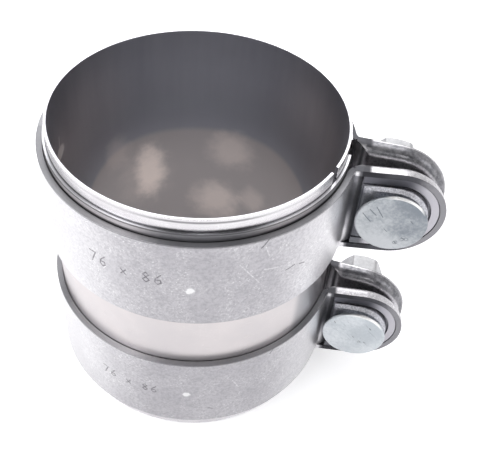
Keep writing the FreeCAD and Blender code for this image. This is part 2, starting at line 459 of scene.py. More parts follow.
@dataclass(frozen=True)
class PhotoCamera:
    """Camera at the photograph's place, worked out from the rings of the sleeve and bands."""

    eye_mm: Point = (-0.815, -152.573, 201.15)
    yaw: float = 0.08600
    pitch: float = 0.79610
    roll: float = 0.08350
    focal_px: float = 747.367
    image_width_px: float = 478.0
    sensor_mm: float = 36.0
    near_clip: float = 0.01

    def build(self) -> None:
        """Makes the camera and gives it to the scene."""
        cos_yaw, sin_yaw = math.cos(self.yaw), math.sin(self.yaw)
        cos_pitch, sin_pitch = math.cos(self.pitch), math.sin(self.pitch)
        cos_roll, sin_roll = math.cos(self.roll), math.sin(self.roll)
        forward = np.array([sin_yaw * cos_pitch, cos_yaw * cos_pitch, -sin_pitch])
        level_right = np.array([cos_yaw, -sin_yaw, 0.0])
        level_up = np.cross(level_right, forward)
        right = cos_roll * level_right + sin_roll * level_up
        up = cos_roll * level_up - sin_roll * level_right
        data = bpy.data.cameras.new("photo_camera")
        data.sensor_fit = "HORIZONTAL"
        data.sensor_width = self.sensor_mm
        data.lens = self.focal_px * self.sensor_mm / self.image_width_px
        data.clip_start = self.near_clip
        camera = add_object("photo_camera", data)
        set_place(camera, (right, up, -forward), [part * MM for part in self.eye_mm])
        bpy.context.scene.camera = camera
        bpy.context.scene.view_settings.view_transform = "Standard"


@dataclass(frozen=True)
class Stroke:
    """A short straight mark on a surface, between two points of its flat layout in millimetres."""

    start: Flat
    end: Flat
    half_width: float = 0.12
    soft_shares: Flat = (0.6, 1.7)

    def mask(self, graph: Graph, flat: Socket) -> Socket:
        """How much of the mark is at the shaded point: 1 on its line, 0 away from it.

        Args:
            graph: the material's graph.
            flat: the point in the flat layout, in metres.

        Returns:
            The share, 0 to 1.
        """
        run = np.subtract(self.end, self.start) * MM
        first = (self.start[0] * MM, self.start[1] * MM, 0.0)
        way = (float(run[0]), float(run[1]), 0.0)
        gap = graph.vector("SUBTRACT", flat, first)
        along = graph.math("DIVIDE", graph.measure("DOT_PRODUCT", gap, way), float(run @ run))
        held = graph.add("ShaderNodeClamp", None, {0: along, 1: 0.0, 2: 1.0}).outputs[0]
        reach = graph.vector("MULTIPLY", graph.joined(held, held, held), way)
        away = graph.measure("LENGTH", graph.vector("SUBTRACT", gap, reach))
        full, none = (self.half_width * share for share in self.soft_shares)
        return graph.fall_mm(away, full, none)


def any_of(graph: Graph, flat: Socket, strokes: Sequence[Stroke]) -> Socket:
    """Joins several marks into one mask.

    Args:
        graph: the material's graph.
        flat: the point in the flat layout, in metres.
        strokes: the marks.

    Returns:
        The largest share of any mark at the shaded point.
    """
    return graph.most(*(stroke.mask(graph, flat) for stroke in strokes))


@dataclass(frozen=True)
class Wrap:
    """Flat layout of a rolled sheet: length round the sleeve, by angle, against height."""

    radius_mm: float = 40.0

    def flat(self, angle: float, height: float) -> Flat:
        """The place of a point, given by its angle in degrees and its height in millimetres."""
        return (math.radians(angle) * self.radius_mm, height)

    def point(self, angle: float, height: float) -> Point:
        """The same place in metres, with a third part of 0."""
        across, up = self.flat(angle, height)
        return (across * MM, up * MM, 0.0)

    def line(self, first: Flat, last: Flat, half_width: float = 0.12) -> Stroke:
        """A mark between two points given by angle and height."""
        return Stroke(self.flat(*first), self.flat(*last), half_width)

    def sockets(self, graph: Graph, place: Socket) -> tuple[Socket, Socket, Socket]:
        """The shaded point in the layout.

        Args:
            graph: the material's graph.
            place: the point in the frame.

        Returns:
            The point in the flat layout, the angle in radians and the distance from the axis.
        """
        x, y, z = graph.parts(place)
        angle = graph.math("ARCTAN2", y, x)
        radius = graph.math("SQRT", graph.plus(graph.math("POWER", x, 2.0), graph.math("POWER", y, 2.0)))
        length = graph.times(angle, self.radius_mm * MM)
        return graph.joined(length, z, 0.0), angle, radius


# Strokes of each stamped character, in shares of its height from its lower left corner
DIGITS: dict[str, tuple[tuple[Flat, Flat], ...]] = {
    "6": (
        ((0.50, 1.00), (0.12, 0.55)), ((0.12, 0.55), (0.08, 0.20)), ((0.08, 0.20), (0.28, 0.00)),
        ((0.28, 0.00), (0.52, 0.18)), ((0.52, 0.18), (0.46, 0.45)), ((0.46, 0.45), (0.12, 0.42)),
    ),
    "7": (((0.02, 1.00), (0.56, 1.00)), ((0.56, 1.00), (0.18, 0.00))),
    "8": (
        ((0.28, 0.54), (0.08, 0.76)), ((0.08, 0.76), (0.28, 1.00)), ((0.28, 1.00), (0.48, 0.76)),
        ((0.48, 0.76), (0.05, 0.24)), ((0.05, 0.24), (0.28, 0.00)), ((0.28, 0.00), (0.52, 0.24)),
        ((0.52, 0.24), (0.28, 0.54)),
    ),
    "x": (((0.08, 0.10), (0.48, 0.60)), ((0.08, 0.60), (0.48, 0.10))),
}


@dataclass(frozen=True)
class Stamp:
    """Plain numbers stamped into a band: the sleeve's bore and length in millimetres."""

    text: str
    angle: float
    bottom: float
    letter_height: float = 3.4
    pitch_share: float = 0.85
    half_width: float = 0.16

    def strokes(self, wrap: Wrap) -> list[Stroke]:
        """The marks of all its characters.

        Args:
            wrap: the layout of the sheet that it is stamped into.

        Returns:
            The marks, left to right.
        """
        left, bottom = wrap.flat(self.angle, self.bottom)
        size = self.letter_height
        marks = []
        for index, letter in enumerate(self.text):
            start = left + index * size * self.pitch_share
            marks += [
                Stroke(
                    (start + a[0] * size, bottom + a[1] * size),
                    (start + b[0] * size, bottom + b[1] * size),
                    self.half_width,
                )
                for a, b in DIGITS.get(letter, ())
            ]
        return marks


@dataclass(frozen=True)
class EarPoint:
    """The shaded point as one clamp sees it, in metres.

    Out, across the gap and up are measured from the sleeves' axis and base, beyond and above from the bolt's
    line. The depth is 0 on the gap side of the ear's floor and grows away from it.
    """

    out: Socket
    across: Socket
    up: Socket
    beyond: Socket
    above: Socket
    depth: Socket


@dataclass(frozen=True)
class ClampPlace:
    """Where one clamp sits: its turn, how far out its bolt is, its ears' gap and its height."""

    angle: float
    bolt_distance: float
    gap: float
    height: float
    lean: float = 4.5
    ear_depth: float = 4.2

    def sockets(self, graph: Graph, vector: Socket) -> tuple[Socket, Socket, Socket]:
        """Turns a vector of the frame into the clamp's own directions.

        Args:
            graph: the material's graph.
            vector: the vector.

        Returns:
            Its parts outward, across the gap and up.
        """
        turned = graph.add("ShaderNodeVectorRotate", {"rotation_type": "Z_AXIS"}, {
            "Vector": vector,
            "Angle": -math.radians(self.angle),
        })
        return graph.parts(turned.outputs[0])

    def point(self, graph: Graph, place: Socket) -> EarPoint:
        """The shaded point as this clamp sees it.

        The ear's floor leans, so the depth is the distance along the floor's own normal: the distance out
        from the bolt times the sine of the lean, plus the distance from the gap's side times the cosine.

        Args:
            graph: the material's graph.
            place: the point in the frame.

        Returns:
            The point.
        """
        out, across, up = self.sockets(graph, place)
        beyond = graph.minus(out, self.bolt_distance * MM)
        above = graph.minus(up, self.height * MM)
        lean = math.radians(self.lean)
        rise = graph.minus(graph.size(across), self.gap / 2 * MM)
        depth = graph.plus(graph.times(beyond, math.sin(lean)), graph.times(rise, math.cos(lean)))
        return EarPoint(out, across, up, beyond, above, depth)


@dataclass(frozen=True)
class RolledSheet:
    """Cold rolled stainless sheet, pickled and skin passed: pale, nearly even, with a soft sheen.

    Rolling leaves a faint grain along the strip. Handling leaves short fine scratches and tiny bright pits,
    which show as pale specks. The real grain is finer than the picture's points and is drawn at 0.3 mm.
    """

    light_hex: str
    dull_hex: str
    roughness: float
    specks: float
    scratches: float
    craze: float = 0.0
    net_hex: str = "#8f8d93"
    cloud: Mottle = Mottle(14.0, 5.0, 0.55, 0.30, 0.70)
    net: Mottle = Mottle(0.8, 6.0, 0.75, 0.36, 0.60)
    rubbed: Mottle = Mottle(7.0, 2.0, 0.5, 0.40, 0.62)
    pits: Mottle = Mottle(0.55, 3.0, 0.7, 0.55, 0.66)
    streaks: Mottle = Mottle(0.34, 2.0, 0.6, 0.66, 0.74)
    streak_places: Mottle = Mottle(6.0, 1.0, 0.5, 0.50, 0.66)
    streak_bend_mm: float = 3.0
    streak_bend_size_mm: float = 9.0
    grain_mm: float = 0.3
    grain_rough: float = 0.12
    grain_height: float = 0.5
    scratch_shine: float = 0.08
    grain_stretch: Point = (0.03, 1.0, 1.0)
    scratch_stretch: Point = (0.10, 1.0, 1.0)
    scratch_ways: tuple[Flat, ...] = ((0.9, 0.0), (-0.6, 3.1), (2.2, 7.7))

    def face(self, graph: Graph, place: Socket, flat: Socket) -> tuple[Socket, Socket, Socket]:
        """The sheet's own face.

        Args:
            graph: the material's graph.
            place: the point in the frame.
            flat: the point in the flat layout.

        Returns:
            Colour, roughness and a height for the bump.
        """
        colour = graph.tones(self.cloud.mask(graph, place), self.dull_hex, self.light_hex)

        # Pickling leaves a fine net of lighter and duller grains
        colour = graph.tint(colour, self.net.mask(graph, place, self.craze, 0.0), self.net_hex)

        # Rolling grain, long around the sheet and fine across it
        grain = graph.noise(graph.vector("MULTIPLY", flat, self.grain_stretch), self.grain_mm, 2.0)

        # Bright pits, in patches where the sheet rubbed against others
        pits = graph.times(self.pits.mask(graph, place), self.rubbed.mask(graph, place), self.specks)
        colour = graph.tint(colour, pits, WHITE)

        # Short scratches in three directions, each only in some places
        marks = graph.most(*(self._scratches(graph, flat, *way) for way in self.scratch_ways))
        marks = graph.times(marks, self.scratches)
        colour = graph.tint(colour, marks, WHITE)

        rough = graph.plus(self.roughness, graph.times(graph.minus(grain, 0.5), self.grain_rough))
        rough = graph.minus(rough, graph.times(marks, self.scratch_shine))
        height = graph.plus(graph.times(grain, self.grain_height), graph.times(pits, -1.0))
        return colour, rough, height

    def _scratches(self, graph: Graph, flat: Socket, turn: float, shift: float) -> Socket:
        """Sparse thin streaks: noise pulled long in one direction, of which only the peaks are kept.

        Args:
            graph: the material's graph.
            flat: the point in the flat layout.
            turn: the streaks' direction, in radians.
            shift: how far this set is moved from the others, in millimetres.

        Returns:
            The streaks' share, 0 to 1.
        """
        turned = graph.add("ShaderNodeMapping", None, {
            "Vector": flat,
            "Location": (shift * MM, 0.0, shift * MM),
            "Rotation": (0.0, 0.0, turn),
        })
        bent = graph.add("ShaderNodeTexNoise", None, {
            "Vector": flat,
            "Scale": 1 / (self.streak_bend_size_mm * MM),
            "Detail": 1.0,
        })
        offset = graph.vector("MULTIPLY", bent.outputs["Color"], (0.0, self.streak_bend_mm * MM, 0.0))
        moved = graph.vector("ADD", turned.outputs[0], offset)
        pulled = graph.vector("MULTIPLY", moved, self.scratch_stretch)
        return graph.times(self.streaks.mask(graph, pulled), self.streak_places.mask(graph, moved))


@dataclass(frozen=True)
class Sleeves:
    """The two rolled and split sleeves, one inside the other.

    Angles are in degrees about their axis, and heights in millimetres. Each patch of painted light has its
    middle, its half sizes and its strength.
    """

    bore_mm: float = 76.0
    press_mark: Flat = (172.5, 66.6)
    mark_streak: tuple[Flat, Flat] = ((172.2, 68.5), (171.2, 71.5))
    rubbed_patches: tuple[tuple[Flat, Flat, float], ...] = (
        ((114.5, 35.0), (5.6, 12.0), 1.0),
        ((118.0, 33.0), (10.0, 13.0), 0.2),
        ((80.0, 20.0), (9.0, 8.5), 0.6),
        ((73.5, 43.0), (8.0, 8.0), 0.45),
        ((60.0, 24.0), (5.0, 6.0), 0.35),
        ((132.0, 47.0), (5.0, 7.0), 0.22),
    )
    patch_edge: Flat = (0.75, 1.75)
    wall_streaks: Mottle = Mottle(5.0, 4.0, 0.55, 0.25, 0.75)
    wall_stretch: Point = (1.0, 0.12, 1.0)
    front_middle: float = 88.0
    front_fade: Flat = (10.0, 28.0)
    deep_heights: Flat = (78.0, 54.0)
    arch_middle: float = 89.0
    arch_half: float = 60.0
    arch_top: float = 51.0
    arch_fall: float = 9.0
    shade_start: Flat = (-49.5, -44.5)
    shade_end: Flat = (51.566, 68.755)
    rim_line: Flat = (84.8, 85.4)
    lip_top: float = 82.2
    lip_line: float = 81.7
    lip_shade: Flat = (79.0, 79.8)
    band_top: float = 79.9
    wall_hexes: tuple[str, str] = ("#c2c2c9", "#cacad0")
    deep_hex: str = "#909098"
    low_hex: str = "#bbb3b1"
    rubbed_hex: str = "#fff0e8"
    line_hex: str = "#4c4c50"
    shade_hex: str = "#a3a2a6"
    lip_hex: str = "#8d8d91"
    dirt_hex: str = "#3f3f43"
    cut_hexes: tuple[str, str] = ("#d6d6da", "#98989c")
    wrap: Wrap = Wrap(38.0)

    def build(self) -> None:
        """Dresses both sleeves."""
        dress("inner_sleeve", self._inner())
        dress("outer_sleeve", self._outer())

    def _inner(self) -> bpy.types.Material:
        """Inner sleeve: dull wall inside, pale outside, and a bright rim.

        Returns:
            The finished material.
        """
        material, graph = new_material("rolled_stainless_inner")
        place = graph.place()
        flat, angle, radius = self.wrap.sockets(graph, place)
        tall = graph.parts(flat)[1]
        sheet = RolledSheet("#eceaec", "#dddadd", 0.26, 0.25, 0.25)
        colour, rough, height = sheet.face(graph, place, flat)
        bore = self.bore_mm / 2
        wall = graph.ramp_mm(radius, bore + 0.25, bore + 0.1)
        colour = graph.mix(wall, colour, self._wall(graph, flat, angle, tall))
        rough = graph.plus(rough, graph.times(wall, 0.08))

        # Outside, a thin dull line under the rim, and painted shade along the outer sleeve's lip, where the
        # sleeves meet
        front = graph.plus(graph.times(self._front(graph, angle), 0.5), 0.2)
        line = graph.times(graph.between(tall, *self.rim_line, 0.25), front)
        over_lip = graph.between(tall, self.lip_top, self.lip_top + 0.5, 0.12)
        line = graph.most(line, graph.times(over_lip, 0.75))
        colour = graph.tint(colour, graph.times(line, graph.minus(1.0, wall)), self.line_hex)

        # Press mark inside: a dent, with a painted highlight on it and a light streak above it
        point = graph.vector("SUBTRACT", flat, self.wrap.point(*self.press_mark))
        away = graph.measure("LENGTH", graph.vector("MULTIPLY", point, (0.36, 0.62, 1.0)))
        mark = graph.fall_mm(away, 0.9, 1.5)
        streak = self.wrap.line(*self.mark_streak, 0.3).mask(graph, flat)
        colour = graph.tint(colour, graph.most(mark, graph.times(streak, 0.6)), WHITE)
        height = graph.plus(height, graph.times(mark, -8.0))
        graph.finish(colour, rough, graph.relief(height, 0.12, 0.02))
        return material

    def _wall(self, graph: Graph, flat: Socket, angle: Socket, tall: Socket) -> Socket:
        """Colour of the wall inside: faint streaks down the pipe, painted shade deeper down, a painted
        reflection of the floor below an arched line, and warm patches of painted light.

        Args:
            graph: the material's graph.
            flat: the point in the flat layout.
            angle: its angle, in radians.
            tall: its height, in metres.

        Returns:
            The colour.
        """
        down = graph.vector("MULTIPLY", flat, self.wall_stretch)
        bare = graph.tones(self.wall_streaks.mask(graph, down), *self.wall_hexes)
        # Painted shade, darker deeper down inside the sleeve
        bare = graph.tint(bare, graph.ramp_mm(tall, *self.deep_heights, 0.0, 0.8), self.deep_hex)
        # Painted reflection of the floor, paler below an arched line
        bare = graph.tint(bare, graph.times(self._low_part(graph, angle, tall), 0.8), self.low_hex)
        # Warm pale patches of painted light on the wall inside
        for centre, half, share in self.rubbed_patches:
            rubbed = graph.times(self._patch(graph, flat, centre, half), share)
            bare = graph.tint(bare, rubbed, self.rubbed_hex)
        return bare

    def _front(self, graph: Graph, angle: Socket) -> Socket:
        """Share of the front: 1 at the middle of the near side, fading out towards either side."""
        off = graph.size(graph.plus(angle, math.radians(self.front_middle)))
        return graph.fall_deg(off, *self.front_fade)

    def _low_part(self, graph: Graph, angle: Socket, tall: Socket) -> Socket:
        """Painted reflection of the floor: a lower, paler part of the wall, below an arched line.

        Args:
            graph: the material's graph.
            angle: the point's angle, in radians.
            tall: its height, in metres.

        Returns:
            Its share: 1 below a line that falls away with the fourth power of the angle from its middle.
        """
        off = graph.minus(angle, math.radians(self.arch_middle))
        off = graph.times(off, 1 / math.radians(self.arch_half))
        fall = graph.times(graph.math("POWER", graph.size(off), 4.0), self.arch_fall * MM)
        above = graph.minus(tall, graph.minus(self.arch_top * MM, fall))
        return graph.fall_mm(above, -2.0, 1.0)

    def _patch(self, graph: Graph, flat: Socket, centre: Flat, half: Flat) -> Socket:
        """A soft oval patch of the wall with a ragged outline.

        Args:
            graph: the material's graph.
            flat: the point in the flat layout.
            centre: the patch's angle and height.
            half: its half sizes, in millimetres.

        Returns:
            Its share, 0 to 1.
        """
        point = graph.vector("SUBTRACT", flat, self.wrap.point(*centre))
        ragged = graph.noise(flat, 5.0, 4.0, 0.6)
        scaled = graph.vector("MULTIPLY", point, (1 / (half[0] * MM), 1 / (half[1] * MM), 0.0))
        away = graph.plus(graph.measure("LENGTH", scaled), graph.times(ragged, 0.9))
        return graph.ramp(away, *self.patch_edge, 1.0, 0.0)

    def _outer(self) -> bpy.types.Material:
        """Outer sleeve: smooth pinkish white, greyed towards its split by a painted reflection of the ears,
        with a dark sheared edge.

        Returns:
            The finished material.
        """
        material, graph = new_material("rolled_stainless_outer")
        place = graph.place()
        flat, angle, _ = self.wrap.sockets(graph, place)
        tall = graph.parts(flat)[1]
        front = self._front(graph, angle)
        sheet = RolledSheet("#ddd7d7", "#d5d0d1", 0.30, 0.10, 0.12)
        colour, rough, height = sheet.face(graph, place, flat)
        # Painted reflection of the ears, greying the sleeve towards its split
        near = graph.times(graph.ramp_deg(angle, *self.shade_start), graph.fall_deg(angle, *self.shade_end))
        colour = graph.tint(colour, graph.times(near, 0.75), self.shade_hex)
        lip = graph.times(graph.ramp_mm(tall, *self.lip_shade), front, 0.85)
        colour = graph.tint(colour, lip, self.lip_hex)

        # Painted shade in the corner over the upper band, and a thin dark line under the lip
        corner = graph.between(tall, self.band_top - 0.3, self.band_top + 0.7, 0.25)
        dirt = graph.times(corner, graph.minus(0.85, graph.times(front, 0.5)))
        dirt = graph.most(dirt, graph.times(graph.between(tall, self.lip_line, self.lip_top, 0.1), 0.7))
        colour = graph.tint(colour, dirt, self.dirt_hex)

        # Sheared edge, which faces up
        cut = graph.ramp(graph.size(graph.parts(graph.normal())[2]), 0.9, 0.99)
        colour = graph.mix(cut, colour, graph.tones(front, *self.cut_hexes))
        graph.finish(colour, rough, graph.relief(height, 0.08, 0.02))
        return material


@dataclass(frozen=True)
class PressedBand:
    """A band with dished ears, pressed from strip: pale faces, and grey torn edges where it was sheared.

    The strap is what lies nearer than strap_reach to the bolt's distance. Beyond it, the ear's own rim is
    the sheared edge.
    """

    node: str
    at: ClampPlace
    stamp: Stamp
    weld_spot: Flat
    pale_marks: tuple[tuple[Flat, Flat], ...] = ()
    dark_marks: tuple[tuple[Flat, Flat], ...] = ()
    ring_radius: float = 43.0
    half_width: float = 13.75
    strap_reach: float = 7.6
    bend_out: Flat = (42.5, 43.5)
    front_middle: float = 86.0
    dull_angles: Flat = (16.0, 50.0)
    pale_angles: Flat = (20.0, 60.0)
    pale_end: Flat = (84.0, 106.0)
    root_start: Flat = (41.6, 42.4)
    root_end: Flat = (47.5, 50.0)
    root_floor: Flat = (0.4, 1.0)
    root_rim: Flat = (4.4, 5.2)
    film_out: Flat = (43.0, 45.0)
    film_across: Flat = (1.0, 1.4)
    film_depth: Flat = (3.4, 3.9)
    rim_out: Flat = (54.0, 63.0)
    left_start: Flat = (-96.0, -122.0)
    left_end: Flat = (-138.0, -160.0)
    right_angles: Flat = (-62.0, -20.0)
    behind_angle: float = 10.0
    ears_start: Flat = (-36.0, -18.0)
    ears_end: Flat = (60.0, 90.0)
    broken: Mottle = Mottle(0.9, 3.0, 0.6, 0.38, 0.58)
    worn: Mottle = Mottle(1.1, 3.0, 0.5, 0.30, 0.55)
    film: Mottle = Mottle(1.6, 4.0, 0.65, 0.35, 0.65)
    dull_hex: str = "#a3a1a6"
    pale_hex: str = "#f6f5f7"
    burr_hex: str = "#4a4a4e"
    nick_hex: str = "#56555a"
    letter_hex: str = "#6e6b70"
    root_hex: str = "#6e6f75"
    shoulder_hex: str = "#66666b"
    film_hexes: tuple[str, str] = ("#5a5b60", "#848387")
    rim_hexes: tuple[str, str] = ("#56565b", "#959498")
    edge_hexes: tuple[str, str] = ("#98989c", "#bcbcc0")
    ear_edge_hex: str = "#56565a"
    strap_edge_hex: str = "#4e4e52"
    wrap: Wrap = Wrap(41.2)

    @property
    def top(self) -> float:
        """Height of the band's upper edge, in millimetres."""
        return self.at.height + self.half_width

    @property
    def strap_end(self) -> float:
        """How far out the strap ends and its ear begins, in millimetres."""
        return self.at.bolt_distance - self.strap_reach

    def build(self) -> None:
        """Dresses the band."""
        dress(self.node, self._material())

    def _material(self) -> bpy.types.Material:
        """Pickled stainless strip with its stamped numbers, weld spot, nicks and sheared edges.

        Returns:
            The finished material.
        """
        material, graph = new_material("pressed_stainless_" + self.node)
        place = graph.place()
        flat, angle, radius = self.wrap.sockets(graph, place)
        tall = graph.parts(flat)[1]
        point = self.at.point(graph, place)
        sheet = RolledSheet("#dcdadd", "#cac8cc", 0.33, 1.0, 0.9, craze=0.6)
        colour, rough, height = sheet.face(graph, place, flat)
        ring = graph.fall_mm(radius, self.ring_radius, self.ring_radius + 0.5)
        colour = self._ring_shade(graph, colour, angle, tall, ring)
        colour, height = self._marks(graph, colour, height, place, flat, angle)

        # Sheared edges: the ring's face up and down, the ears' run round the rim of each dish
        normal = graph.normal()
        up_share = graph.size(graph.parts(normal)[2])
        corner = graph.ramp_mm(tall, self.top - 0.6, self.top - 0.3)
        corner = graph.times(corner, graph.ramp_mm(point.out, *self.bend_out))
        level = graph.most(graph.ramp(up_share, 0.9, 0.99), corner)
        level = graph.times(level, graph.fall_mm(point.out, self.strap_end - 0.6, self.strap_end + 0.6))
        rim = graph.ramp_mm(point.depth, self.at.ear_depth - 0.12, self.at.ear_depth - 0.04)
        rim = graph.times(rim, graph.minus(1.0, ring))
        # Painted shade in the root of each dish
        root = graph.times(self._root_dirt(graph, point), graph.ramp(up_share, 0.55, 0.85, 1.0, 0.0))
        colour = graph.tint(colour, root, self.root_hex)
        # Blotchy painted shade on the gap side of the rear ear
        film = graph.tones(self.film.mask(graph, place), *self.film_hexes)
        colour = graph.mix(self._gap_film(graph, normal, point), colour, film)
        colour = graph.mix(rim, colour, self._rim_colour(graph, place, point.out))
        colour = graph.mix(level, colour, self._edge_colour(graph, place, angle, ring))
        rough = graph.plus(rough, graph.times(graph.most(level, rim), 0.16))
        rough = graph.plus(rough, graph.times(root, 0.4))

        # The shoulder where the strap turns into the dish is rougher, and its colour is darkened as painted
        # shade that dims its highlight
        shoulder = graph.between(point.out, self.strap_end - 3.0, self.strap_end + 1.6, 0.5)
        shoulder = graph.times(shoulder, graph.ramp_mm(point.depth, 4.0, 4.5))
        shoulder = graph.times(shoulder, graph.ramp_mm(tall, self.top - 3.0, self.top))
        colour = graph.tint(colour, graph.times(shoulder, 0.8), self.shoulder_hex)
        rough = graph.plus(rough, graph.times(shoulder, 0.3))
        graph.finish(colour, rough, graph.relief(height, 0.16, 0.03))
        return material

    def _ring_shade(self, graph: Graph, colour: Socket, angle: Socket, tall: Socket, ring: Socket) -> Socket:
        """Painted shading of the ring: darker in the middle of its front and paler at its sides, as the
        light falls, and a thin dark burr.

        Args:
            graph: the material's graph.
            colour: the sheet's colour.
            angle: the point's angle, in radians.
            tall: its height, in metres.
            ring: the ring's share, 1 on it and 0 on the ears.

        Returns:
            The shaded colour.
        """
        middle = graph.size(graph.plus(angle, math.radians(self.front_middle)))
        # Painted shade in the middle of the front, and painted light at the sides
        duller = graph.times(graph.ramp_deg(middle, *self.dull_angles, 0.5, 0.0), ring)
        colour = graph.tint(colour, duller, self.dull_hex)
        paler = graph.ramp_deg(middle, *self.pale_angles, 0.0, 0.65)
        paler = graph.times(paler, graph.fall_deg(middle, *self.pale_end), ring)
        colour = graph.tint(colour, paler, self.pale_hex)
        burr = graph.times(graph.between(tall, self.top - 0.35, self.top - 0.05, 0.12), ring, 0.6)
        return graph.tint(colour, burr, self.burr_hex)

    def _marks(
        self, graph: Graph, colour: Socket, height: Socket, place: Socket, flat: Socket, angle: Socket,
    ) -> tuple[Socket, Socket]:
        """Marks of use on the ring: pale scratches, dark nicks, the weld spot and the stamped numbers.

        Args:
            graph: the material's graph.
            colour: the colour so far.
            height: the bump's height so far.
            place: the point in the frame.
            flat: the point in the flat layout.
            angle: its angle, in radians.

        Returns:
            The colour and the height with the marks.
        """
        broken = self.broken.mask(graph, flat)
        pale = any_of(graph, flat, [self.wrap.line(a, b, 0.12) for a, b in self.pale_marks])
        colour = graph.tint(colour, graph.times(pale, 0.4, broken), WHITE)
        dark = any_of(graph, flat, [self.wrap.line(a, b, 0.16) for a, b in self.dark_marks])
        colour = graph.tint(colour, graph.times(dark, 0.7), self.nick_hex)
        weld = self._weld(graph, flat, place)
        colour = graph.tint(colour, graph.times(weld, 0.7), WHITE)

        # The layout's angle is below zero on the near side, where the numbers are
        letters = any_of(graph, flat, self.stamp.strokes(self.wrap))
        letters = graph.times(letters, graph.math("LESS_THAN", angle, 0.0))
        worn = graph.times(letters, self.worn.mask(graph, flat, 0.35, 0.85))
        colour = graph.tint(colour, worn, self.letter_hex)
        height = graph.minus(height, graph.times(letters, 6.0))
        return colour, graph.minus(height, graph.times(weld, 4.0))

    def _weld(self, graph: Graph, flat: Socket, place: Socket) -> Socket:
        """The bright spot of a weld, with a ragged outline.

        Args:
            graph: the material's graph.
            flat: the point in the flat layout.
            place: the point in the frame.

        Returns:
            The spot's share, 0 to 1.
        """
        away = graph.measure("LENGTH", graph.vector("SUBTRACT", flat, self.wrap.point(*self.weld_spot)))
        ragged = graph.times(graph.minus(graph.noise(place, 0.8, 3.0), 0.5), 1.6 * MM)
        return graph.fall_mm(graph.plus(away, ragged), 0.75, 1.25)

    def _root_dirt(self, graph: Graph, point: EarPoint) -> Socket:
        """Painted shade in the root of each dish.

        Args:
            graph: the material's graph.
            point: the shaded point as the clamp sees it.

        Returns:
            The shade's share, 0 to 0.88.
        """
        near = graph.times(
            graph.fall_mm(point.out, *self.root_end), graph.ramp_mm(point.out, *self.root_start))
        inside = graph.times(
            graph.ramp_mm(point.depth, *self.root_floor), graph.fall_mm(point.depth, *self.root_rim))
        return graph.times(near, graph.times(inside, 0.88))

    def _gap_film(self, graph: Graph, normal: Socket, point: EarPoint) -> Socket:
        """Painted shade on the rear ear, on the side that faces the gap and round its outer bend.

        The outside of the ear is where its normal points away from the bolt's line or into the gap. The
        shade ends below the rim.

        Args:
            graph: the material's graph.
            normal: the surface's normal in the frame.
            point: the shaded point as the clamp sees it.

        Returns:
            The shade's share, 0 to 0.9.
        """
        face_out, face_across, face_up = self.at.sockets(graph, normal)
        away = graph.vector("NORMALIZE", graph.joined(point.beyond, point.above, 0.0))
        outward = graph.measure("DOT_PRODUCT", graph.joined(face_out, face_up, 0.0), away)
        outside = graph.ramp(graph.minus(outward, face_across), 0.1, 0.5)
        outside = graph.times(outside, graph.ramp(face_across, -0.97, -0.85))
        rear = graph.ramp_mm(point.across, *self.film_across)
        ear = graph.times(
            graph.ramp_mm(point.out, *self.film_out), graph.fall_mm(point.depth, *self.film_depth))
        return graph.times(graph.times(outside, rear), ear, 0.9)

    def _rim_colour(self, graph: Graph, place: Socket, out: Socket) -> Socket:
        """Torn rim of a dish: dark near the ring, lighter at the ear's tip, and blotchy."""
        level = graph.plus(graph.ramp_mm(out, *self.rim_out), self._blotch(graph, place, 0.8))
        return graph.tones(graph.ramp(level, 0.0, 1.0), *self.rim_hexes)

    def _blotch(self, graph: Graph, place: Socket, share: float) -> Socket:
        """Uneven level of a torn edge, about zero."""
        return graph.times(graph.minus(graph.noise(place, 1.2, 4.0, 0.65), 0.5), share)

    def _edge_colour(self, graph: Graph, place: Socket, angle: Socket, ring: Socket) -> Socket:
        """Sheared edge of the ring: grey in front, paler to the left, dull towards the ears, and blotchy.

        Args:
            graph: the material's graph.
            place: the point in the frame.
            angle: its angle, in radians.
            ring: the ring's share, 1 on it and 0 on the ears.

        Returns:
            The edge's colour.
        """
        left = graph.times(
            graph.ramp_deg(angle, *self.left_start), graph.fall_deg(angle, *self.left_end))
        right = graph.ramp_deg(angle, *self.right_angles, 0.0, 0.4)
        behind = graph.times(graph.math("GREATER_THAN", angle, math.radians(self.behind_angle)), 0.15)
        level = graph.plus(graph.most(left, right, behind), self._blotch(graph, place, 0.6))
        edge = graph.tones(graph.ramp(level, -0.1, 1.0), *self.edge_hexes)
        ears = graph.times(
            graph.ramp_deg(angle, *self.ears_start), graph.fall_deg(angle, *self.ears_end))
        edge = graph.tint(edge, ears, self.ear_edge_hex)
        return graph.mix(ring, linear(self.strap_edge_hex), edge)


